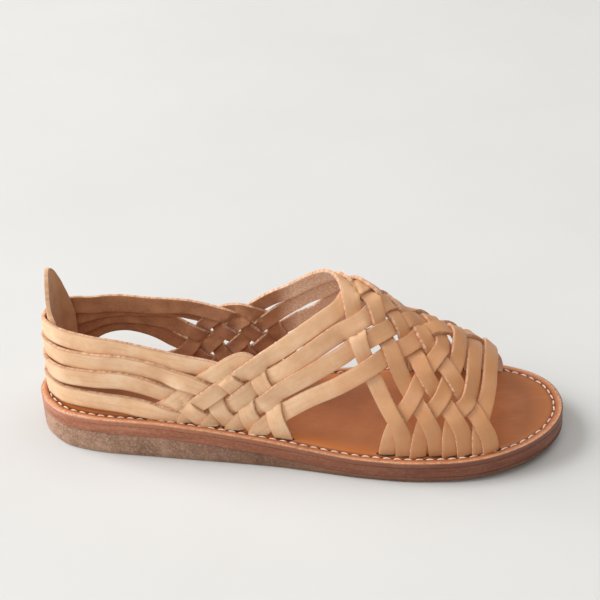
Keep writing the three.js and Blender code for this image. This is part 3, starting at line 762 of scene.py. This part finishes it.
def through(points, step):
    """Evenly stepped smooth curve through points, its knots spaced by the root of their distance."""
    ends = [2 * points[0] - points[1], *points, 2 * points[-1] - points[-2]]
    knots = np.concatenate([[0], np.cumsum(np.sqrt(np.linalg.norm(np.diff(ends, axis=0), axis=1)))])
    dense = []
    for k in range(1, len(ends) - 2):
        t = np.linspace(knots[k], knots[k + 1], SPAN_SAMPLES, endpoint=False)[:, None]
        t0, t1, t2, t3 = knots[k - 1 : k + 3]
        p0, p1, p2, p3 = ends[k - 1 : k + 3]
        a1 = (t1 - t) / (t1 - t0) * p0 + (t - t0) / (t1 - t0) * p1
        a2 = (t2 - t) / (t2 - t1) * p1 + (t - t1) / (t2 - t1) * p2
        a3 = (t3 - t) / (t3 - t2) * p2 + (t - t2) / (t3 - t2) * p3
        b1 = (t2 - t) / (t2 - t0) * a1 + (t - t0) / (t2 - t0) * a2
        b2 = (t3 - t) / (t3 - t1) * a2 + (t - t1) / (t3 - t1) * a3
        dense.append((t2 - t) / (t2 - t1) * b1 + (t - t1) / (t2 - t1) * b2)
    dense = np.vstack([*dense, points[-1][None]])
    run = run_along(dense)
    steps = np.linspace(0, run[-1], int(run[-1] / step) + 1)
    return np.stack([np.interp(steps, run, dense[:, k]) for k in range(3)], 1)


def from_inner(rows):
    """Rows whose rounds were taken from the inner edge, with their rounds from the outer edge."""
    return [(along, 1 - around) for along, around in rows]


RANKS = (1, 2, 3, 4)
straps = []
for rank in RANKS:
    back_row = (HEEL_SETBACK / SOLE_LENGTH, HEEL_BACK[rank])
    rows = HEEL[rank] + [back_row] + from_inner(INNER_HEEL[rank])[::-1]
    straps.append({"kind": "heel", "rank": rank, "width": HEEL_STRAP_WIDTH, "rows": rows})
for side, rows in (("outer", LOOP), ("inner", from_inner(INNER_LOOP))):
    straps.append({"kind": "loop", "rank": 0, "width": STRAP_WIDTH, "rows": rows, "side": side})
for rank in RANKS:
    outer_rows = QUARTER[rank] + mirrored(FRONT[rank])
    higher = [row for row in QUARTER[rank] if row[0] > INNER_QUARTER[rank][-1][0]]
    inner_rows = from_inner(INNER_QUARTER[rank]) + mirrored(higher) + FRONT[rank]
    hoop_rows = TOE[rank] + mirrored(TOE[rank][:-1])[::-1]
    for kind, rows in (("near", outer_rows), ("far", inner_rows), ("toe", hoop_rows)):
        straps.append({"kind": kind, "rank": rank, "width": STRAP_WIDTH, "rows": rows})

# Each strap starts as a ribbon that lies on the foot, a little crowned. It is narrower where the
# weave has drawn it tight: in the inner quarter, and where far straps and hoops cross the toes.
ACROSS_STEPS = 6
STRAP_STEP = 1.0
SINK = 1.2
CROWN = 0.22
PULLED_IN = 0.13
QUARTER_PULL = ([0.17, 0.27, 0.48, 0.56], [0, 1, 1, 0])
TOE_PULL = ([0.6, 0.66], [0, 0.75])
for strap in straps:
    corners = [foot_point(row) for row in strap["rows"]]
    down = np.array([0, 0, SINK])
    path = settle(through([corners[0] - down, *corners, corners[-1] - down], STRAP_STEP))
    ahead = np.gradient(path, axis=0)
    for _ in range(4):
        ahead[1:-1] = (ahead[:-2] + 2 * ahead[1:-1] + ahead[2:]) / 4
    out = foot_normal(path)
    side = np.cross(out, ahead)
    side /= np.linalg.norm(side, axis=1)[:, None]
    reach = np.linspace(-0.5, 0.5, ACROSS_STEPS + 1)
    along = path[:, 0] / SOLE_LENGTH
    woven = np.interp(along, *QUARTER_PULL) * (path[:, 1] > 0)
    if strap["kind"] in ("toe", "far"):
        woven = np.maximum(woven, np.interp(along, *TOE_PULL))
    width = strap["width"] * (1 - PULLED_IN * woven)
    crown = CROWN * (1 - (2 * reach) ** 2)
    spread = reach[:, None] * width[None]
    strap["base"] = path[None] + side[None] * spread[:, :, None] + out[None] * crown[:, None, None]
    strap["out"] = np.repeat(out[None], len(reach), 0)
    strap["lift"] = np.zeros(strap["base"].shape[:2])

# Where two straps touch, the rule of the plait says which lies on top: even ranks and odd ranks
# take turns. Straps of one family lap like shingles.
OVER_WHEN = {
    ("heel", "near"): 0, ("heel", "far"): 0, ("heel", "loop"): 0, ("loop", "near"): 0,
    ("loop", "far"): 0, ("far", "near"): 0, ("far", "toe"): 0, ("near", "toe"): 1,
}


def lies_over(a, b):
    """Whether the first of two straps lies on top of the second where they touch."""
    pair = (a["kind"], b["kind"])
    parity = (a["rank"] + b["rank"]) % 2
    if pair in OVER_WHEN:
        return parity == OVER_WHEN[pair]
    if pair[::-1] in OVER_WHEN:
        return parity != OVER_WHEN[pair[::-1]]
    return a["rank"] > b["rank"]


# Points of two straps that face each other are pushed apart along the foot's outward way until
# there is room for the leather, while each strap is kept smooth and drawn back to the foot.
TOUCHING = 1.05
ROOM = THONG_THICKNESS + 0.08
PRESSINGS = 160
SLACK = 0.995
trees = []
for strap in straps:
    flat = strap["base"].reshape(-1, 3)
    tree = KDTree(len(flat))
    for k, p in enumerate(flat):
        tree.insert(p, k)
    tree.balance()
    trees.append(tree)
starts = np.cumsum([0] + [strap["lift"].size for strap in straps])
upper_points, lower_points = [], []
for a, first in enumerate(straps):
    for b, second in enumerate(straps):
        if (first["kind"], first["rank"]) == (second["kind"], second["rank"]):
            continue
        over = lies_over(first, second)
        for k, p in enumerate(first["base"].reshape(-1, 3)):
            hit = trees[b].find(p)
            if hit[2] < TOUCHING:
                pair = (starts[a] + k, starts[b] + hit[1])
                upper_points.append(pair[0] if over else pair[1])
                lower_points.append(pair[1] if over else pair[0])
upper_points, lower_points = np.array(upper_points), np.array(lower_points)
base = np.vstack([strap["base"].reshape(-1, 3) for strap in straps])
out = np.vstack([strap["out"].reshape(-1, 3) for strap in straps])
lift = np.zeros(len(base))
between = out[upper_points] + out[lower_points]
between /= np.linalg.norm(between, axis=1)[:, None]
for _ in range(PRESSINGS):
    for s, strap in enumerate(straps):
        h = lift[starts[s] : starts[s + 1]].reshape(strap["lift"].shape)
        h[:, 1:-1] += 0.5 * ((h[:, :-2] + h[:, 2:]) / 2 - h[:, 1:-1])
        across = h.copy()
        across[1:-1] = (h[:-2] + 2 * h[1:-1] + h[2:]) / 4
        h[:] = across * SLACK
    place = base + out * lift[:, None]
    short = ROOM - np.einsum("ij,ij->i", place[upper_points] - place[lower_points], between)
    short = np.maximum(short, 0) * 0.5
    for points, sign in ((upper_points, 1), (lower_points, -1)):
        total, hits = np.zeros(len(base)), np.zeros(len(base))
        np.add.at(total, points, short)
        np.add.at(hits, points, short > 0)
        lift += sign * total / np.maximum(hits, 1)

# The feet, where several straps crowd into the sole, are pressed flat once more.
FOOT_ZONE = 16
FOOT_FADE = 6
FOOT_PRESSINGS = 14
for s, strap in enumerate(straps):
    h = lift[starts[s] : starts[s + 1]].reshape(strap["lift"].shape)
    from_end = np.minimum(np.arange(h.shape[1]), np.arange(h.shape[1])[::-1])
    at_foot = np.clip((FOOT_ZONE - from_end) / FOOT_FADE, 0, 1)
    for _ in range(FOOT_PRESSINGS):
        h[:, 1:-1] += 0.5 * at_foot[1:-1] * ((h[:, :-2] + h[:, 2:]) / 2 - h[:, 1:-1])
        across = (h[:-2] + 2 * h[1:-1] + h[2:]) / 4
        h[1:-1] += at_foot * (across - h[1:-1])

grain = Finish("strap_grain", "UV")
mottle = grain.noise(0.7, 5, 0.6)
pulled = grain.noise(2.2, 4, 0.6, grain.stretched((0.25, 3.0, 1)))
creases = grain.noise(3.0, 4, 0.65, grain.stretched((3.2, 0.5, 1)))
pores = grain.cells(26)
hide = grain.ramp(
    mottle, (0.3, tone(222, 172, 128)), (0.5, tone(236, 192, 150)), (0.7, tone(246, 212, 176))
)
hide = grain.mix(grain.ramp(pulled, (0.3, 0.28), (0.52, 0.0)), hide, tone(200, 146, 98))
hide = grain.mix(grain.ramp(creases, (0.6, 0.0), (0.78, 0.3)), hide, tone(240, 206, 168))
# Painted shade: the grain is darkened along both long edges of each strap, for the shade in the crevices
# between straps.
crevice_shade = grain.ramp(grain.math("ABSOLUTE", grain.axis("Y")), (0.37, 0.0), (0.43, 0.45))
hide = grain.mix(crevice_shade, hide, tone(132, 76, 38))
# Darker and more orange toward the toe: partly the oil-tanned leather's own colour, partly painted shade
# where the front straps lie further from the light.
oiled_and_shaded = grain.toward_toe(5.0, (0.5, 0.0), (0.8, 1.0))
hide = grain.mix(grain.math("MULTIPLY", oiled_and_shaded, 0.75), hide, tone(196, 128, 74))
grain.into(hide, "Base Color")
grain.into(grain.ramp(mottle, (0.3, 0.42), (0.7, 0.56)), "Roughness")
grain.set("Coat Weight", 0.2)
grain.set("Coat Roughness", 0.38)
grain.bump((creases, 0.3, 0.3), (pulled, 0.06, 0.2), (pores, 0.16, 0.08))

flesh = Finish("strap_flesh", "UV")
nap = flesh.noise(9, 6, 0.75)
shade = flesh.noise(1.1, 4, 0.6)
suede = flesh.ramp(shade, (0.3, tone(150, 96, 62)), (0.7, tone(192, 134, 92)))
suede = flesh.mix(flesh.ramp(nap, (0.4, 0.0), (0.7, 0.5)), suede, tone(204, 152, 112))
# Painted light: from the middle of the sole forward the flesh side is made much paler, as if lit, with pale
# nap specks in it.
lit_suede = flesh.mix(flesh.ramp(nap, (0.4, 0.0), (0.6, 1.0)), tone(232, 176, 132), tone(255, 238, 216))
suede = flesh.mix(flesh.toward_toe(5.0, (0.45, 0.0), (0.5, 0.95)), suede, lit_suede)
flesh.into(suede, "Base Color")
flesh.set("Roughness", 0.95)
flesh.set("Sheen Weight", 0.3)
flesh.bump((nap, 0.6, 0.3), (flesh.noise(40, 3), 0.4, 0.12))

cut = Finish("strap_cut_edge", "UV")
fibres = cut.noise(6, 5, 0.7, cut.stretched((1, 6, 1)))
cut.into(cut.ramp(fibres, (0.35, tone(168, 118, 84)), (0.65, tone(228, 188, 156))), "Base Color")
cut.set("Roughness", 0.85)
cut.bump((fibres, 0.6, 0.25))


def cut_from_hide(piece, thickness, ease, segments, finishes):
    """Gives a laid sheet its thickness and eased edges: grain side, flesh side and cut edge."""
    for finish in finishes:
        piece.data.materials.append(finish.material)
    wall = piece.modifiers.new("thickness", "SOLIDIFY")
    wall.thickness = thickness * MM
    wall.offset = 0
    wall.material_offset = 1
    wall.material_offset_rim = 2
    eased = piece.modifiers.new("eased_edges", "BEVEL")
    eased.width = ease * MM
    eased.segments = segments
    eased.limit_method = "ANGLE"
    eased.angle_limit = THONG_ARRIS
    for modifier in ("thickness", "eased_edges"):
        bpy.ops.object.modifier_apply(modifier=modifier)
    bpy.ops.object.shade_smooth_by_angle(angle=THONG_ARRIS)
    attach(piece, "root")


for s, strap in enumerate(straps):
    rows, columns = strap["lift"].shape
    places = (base + out * lift[:, None])[starts[s] : starts[s + 1]]
    bpy.ops.object.select_all(action="DESELECT")
    bpy.ops.mesh.primitive_grid_add(x_subdivisions=columns - 1, y_subdivisions=rows - 1, calc_uvs=True)
    thong = bpy.context.object
    thong.name = "_".join(["strap", strap["kind"], strap.get("side") or str(strap["rank"])])
    thong.data.vertices.foreach_set("co", ((places - CENTRE) * MM).ravel())
    run = run_along(strap["base"][rows // 2])
    for loop, uv in zip(thong.data.loops, thong.data.uv_layers[0].data):
        row, column = divmod(loop.vertex_index, columns)
        across_share = (row / (rows - 1) - 0.5) * strap["width"]
        uv.uv = (run[column] / UV_SPAN + UV_APART * s, across_share / UV_SPAN)
    cut_from_hide(thong, THONG_THICKNESS, THONG_EASE, 2, (grain, flesh, cut))
    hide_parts("upper")


# Strap slits: short cuts through the insole that the thongs go down through, dark inside. Each is
# an oval patch of shadow laid just over the leather, a little wider than the strap's foot.
SLIT_CORNERS = 16
SLIT_OVERHANG = 0.9
SLIT_HALF_DEPTH = 1.9
SLIT_RISE = 0.04

bpy.ops.object.select_all(action="DESELECT")
slit_corners, slit_faces = [], []
for strap in straps:
    for end in (0, -1):
        foot = strap["base"][ACROSS_STEPS // 2, end]
        outward = strap["out"][0, end] * (1, 1, 0)
        outward /= np.linalg.norm(outward)
        side = np.array([-outward[1], outward[0], 0])
        half_width = strap["width"] / 2 + SLIT_OVERHANG
        slit_faces.append([len(slit_corners) + k for k in range(SLIT_CORNERS)])
        for k in range(SLIT_CORNERS):
            angle = 2 * math.pi * k / SLIT_CORNERS
            across, deep = half_width * math.cos(angle), SLIT_HALF_DEPTH * math.sin(angle)
            p = foot + side * across + outward * deep
            p[2] = float(insole_top(p[0])) + SLIT_RISE
            slit_corners.append((p - CENTRE) * MM)
slits = laid_in("strap_slits", slit_corners, slit_faces)
slits.select_set(True)
bpy.context.view_layer.objects.active = slits
bpy.ops.object.mode_set(mode="EDIT")
bpy.ops.mesh.select_all(action="SELECT")
bpy.ops.mesh.normals_make_consistent(inside=False)
bpy.ops.object.mode_set(mode="OBJECT")

dark = Finish("slit_shadow")
dark.into(dark.ramp(dark.noise(300), (0.3, tone(58, 30, 20)), (0.7, tone(84, 44, 28))), "Base Color")
dark.set("Roughness", 0.9)
slits.data.materials.append(dark.material)


# Heel tab: one stiff strip of sole leather that stands up inside the heel straps, flesh side to
# the foot, with a rounded point at the top and a pale shaved edge.
TAB_HEIGHT = 63.4
TAB_HALF_WIDTH = 20.0
TAB_THICKNESS = 2.0
TAB_UP = [0, 0.47, 0.58, 0.64, 0.68, 0.73, 0.78, 0.84, 0.9, 0.95, 0.985, 1]
TAB_NEAR = [1, 0.97, 0.93, 0.84, 0.62, 0.41, 0.28, 0.16, 0.07, 0, -0.06, -0.1]
TAB_FAR = [1.06, 1.08, 1.02, 0.96, 0.92, 0.86, 0.79, 0.71, 0.6, 0.45, 0.31, 0.2]
TAB_ROWS = 56
TAB_COLUMNS = 24
TAB_CROWDING = 1.35
TAB_SUNK = 0.3
TAB_CLEARANCE = 1.35
TAB_EASE = 0.45

back_grain = Finish("tab_grain", "UV")
mottle = back_grain.noise(0.8, 5, 0.6)
russet = back_grain.ramp(mottle, (0.3, tone(206, 156, 112)), (0.7, tone(232, 190, 148)))
back_grain.into(russet, "Base Color")
back_grain.set("Roughness", 0.5)
back_grain.bump((mottle, 0.3, 0.3), (back_grain.cells(24), 0.2, 0.1))

inside = Finish("tab_flesh", "UV")
specks = inside.noise(14, 6, 0.8)
stain = inside.noise(0.9, 5, 0.65)
nap_colour = inside.ramp(stain, (0.35, tone(188, 130, 86)), (0.65, tone(214, 160, 114)))
nap_colour = inside.mix(inside.ramp(specks, (0.45, 0.0), (0.62, 0.65)), nap_colour, tone(216, 172, 132))
nap_colour = inside.mix(inside.ramp(specks, (0.3, 0.6), (0.42, 0.0)), nap_colour, tone(96, 58, 38))
inside.into(nap_colour, "Base Color")
inside.set("Roughness", 0.95)
inside.set("Sheen Weight", 0.3)
inside.bump((specks, 0.7, 0.35))

shaved = Finish("tab_cut_edge", "UV")
fibres = shaved.noise(7, 5, 0.7)
shaved.into(shaved.ramp(fibres, (0.3, tone(206, 152, 112)), (0.7, tone(238, 198, 160))), "Base Color")
shaved.set("Roughness", 0.8)
shaved.bump((fibres, 0.5, 0.25))

foot_height = float(insole_top(HEEL_SETBACK)) - TAB_SUNK
bend = HEEL_CORE - HEEL_SETBACK
outset = THONG_THICKNESS / 2 + TAB_CLEARANCE + TAB_THICKNESS / 2
bpy.ops.object.select_all(action="DESELECT")
bpy.ops.mesh.primitive_grid_add(x_subdivisions=TAB_COLUMNS, y_subdivisions=TAB_ROWS, size=2, calc_uvs=True)
tab = bpy.context.object
tab.name = "heel_tab_leather"
spots = []
for vertex in tab.data.vertices:
    share = 1 - (1 - (vertex.co.y + 1) / 2) ** TAB_CROWDING
    far_share = (1 - vertex.co.x) / 2
    far_edge, near_edge = (float(follow(TAB_UP, edge, share)) for edge in (TAB_FAR, TAB_NEAR))
    bearing = TAB_HALF_WIDTH * (far_edge * far_share - near_edge * (1 - far_share)) / bend
    height = foot_height + share * (TAB_SUNK + LAYER_GAP + TAB_HEIGHT)
    spots.append((HEEL_CORE * (1 - math.cos(bearing)), HEEL_CORE * math.sin(bearing), height))
spots = np.array(spots)
seat = settle(spots)
inward = foot_normal(seat)
inward[:, 2] = 0
inward /= np.linalg.norm(inward, axis=1)[:, None]
seat -= inward * outset
seat[:, 2] = spots[:, 2]
tab.data.vertices.foreach_set("co", ((seat - CENTRE) * MM).ravel())
for loop, uv in zip(tab.data.loops, tab.data.uv_layers[0].data):
    p = spots[loop.vertex_index]
    uv.uv = (p[2] / UV_SPAN, p[1] / UV_SPAN)
cut_from_hide(tab, TAB_THICKNESS, TAB_EASE, 3, (back_grain, inside, shaved))
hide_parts("heel_tab")


# Studio: a pale floor, a large soft light from the far left, a weaker one overhead and behind, and
# a fill low on the camera's side. The plain colour transform keeps the leather's pale tones.
FLOOR_SIZE = 6.0
ROOM_GLOW = 0.3

bpy.ops.object.select_all(action="DESELECT")
bpy.ops.mesh.primitive_plane_add(size=FLOOR_SIZE, location=(0, 0, 0))
floor_sheet = bpy.context.object
floor_sheet.name = "floor"
paper = Finish("pale_floor")
mottle = paper.ramp(paper.noise(6, 3), (0.3, tone(202, 202, 201)), (0.7, tone(206, 206, 205)))
paper.into(mottle, "Base Color")
paper.set("Roughness", 0.9)
floor_sheet.data.materials.append(paper.material)

world = bpy.data.worlds.new("soft_room")
world.use_nodes = True
backdrop = world.node_tree.nodes["Background"]
backdrop.inputs["Color"].default_value = tone(255, 248, 236)
backdrop.inputs["Strength"].default_value = ROOM_GLOW
bpy.context.scene.world = world
bpy.context.scene.view_settings.view_transform = "Standard"
for name, place, size, power in (
    ("window_light", (-3.2, 0.1, 2.3), 3.4, 222.0),
    ("ceiling_light", (0.9, 0.5, 3.0), 3.0, 34.0),
    ("fill_light", (-0.3, -2.2, 1.7), 1.8, 18.0),
):
    lamp_data = bpy.data.lights.new(name, "AREA")
    lamp_data.size = size
    lamp_data.energy = power
    lamp = bpy.data.objects.new(name, lamp_data)
    lamp.location = place
    lamp.rotation_mode = "QUATERNION"
    lamp.rotation_quaternion = (-Vector(place)).to_track_quat("-Z", "Y")
    bpy.context.scene.collection.objects.link(lamp)
